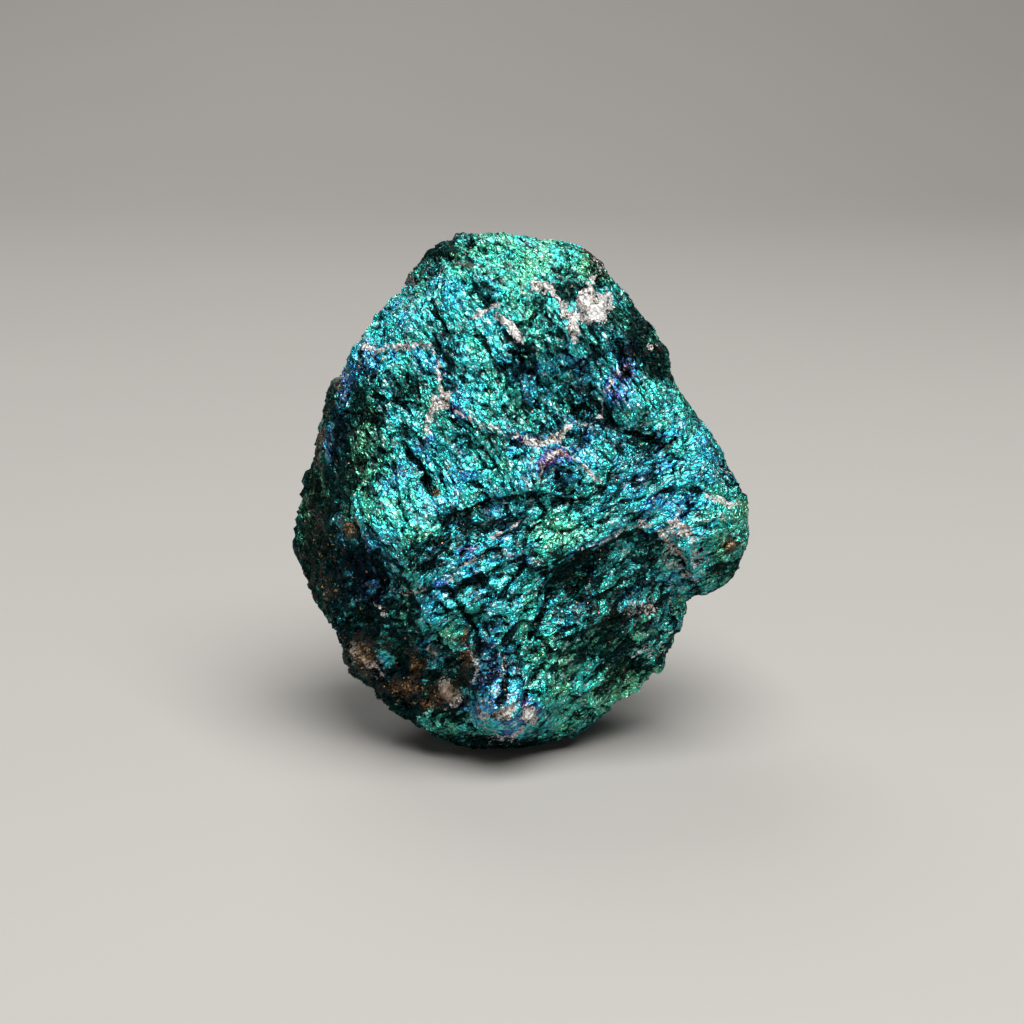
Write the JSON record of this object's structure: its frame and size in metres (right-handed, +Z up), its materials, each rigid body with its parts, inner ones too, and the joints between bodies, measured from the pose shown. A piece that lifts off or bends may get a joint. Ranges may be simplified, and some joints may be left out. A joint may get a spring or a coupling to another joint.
{
  "type": "peacock ore",
  "caption": "One broken lump of tarnished copper ore with an iridescent teal, green and blue film and pale veins, standing on a small flat spot; a display mineral specimen",
  "frame": {"origin": "middle of the bounding box's bottom, in the plane of the flat spot that the lump rests on", "axes": "+Z up, along the lump's height; -Y is the way the broad display face looks; +X to the right as that face is seen; metres"},
  "size_m": [0.045, 0.0346, 0.0499],
  "materials": {
    "tarnished_ore": "hackly broken ore with a metallic, iridescent tarnish: teal to cyan, with green, blue, violet and bronze zones and pale quartz veins"
  },
  "bodies": {
    "root": {"ore": "tarnished_ore"}
  },
  "joints": []
}
